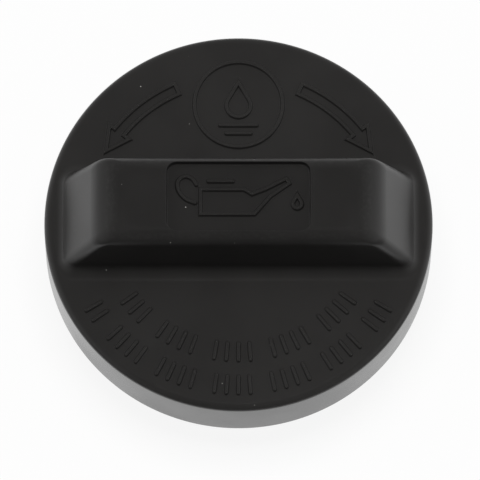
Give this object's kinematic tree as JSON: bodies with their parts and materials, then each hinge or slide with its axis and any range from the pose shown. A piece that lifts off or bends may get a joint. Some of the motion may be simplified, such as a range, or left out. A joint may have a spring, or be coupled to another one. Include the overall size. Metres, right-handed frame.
{
  "type": "oil filler cap",
  "caption": "Round black engine oil filler cap with a raised bar grip on top, a bayonet plug below and a flat sealing ring.",
  "frame": {"origin": "on the cap's axis in the sealing plane, which is the lower face of the gasket where it meets the filler neck", "axes": "+Z along the axis, out of the engine and up through the grip; +X along the grip bar; +Y towards the back of the cover, where the ring with the drop is"},
  "size_m": [0.064, 0.064, 0.04],
  "materials": {
    "cover_plastic": "black glass-filled nylon, satin top and smoother skirt",
    "plug_plastic": "black glass-filled nylon, dull as moulded",
    "seal_rubber": "black nitrile rubber, dull"
  },
  "bodies": {
    "root": {"cover_shell": "cover_plastic", "closure_plug": "plug_plastic", "neck_gasket": "seal_rubber"}
  },
  "joints": []
}
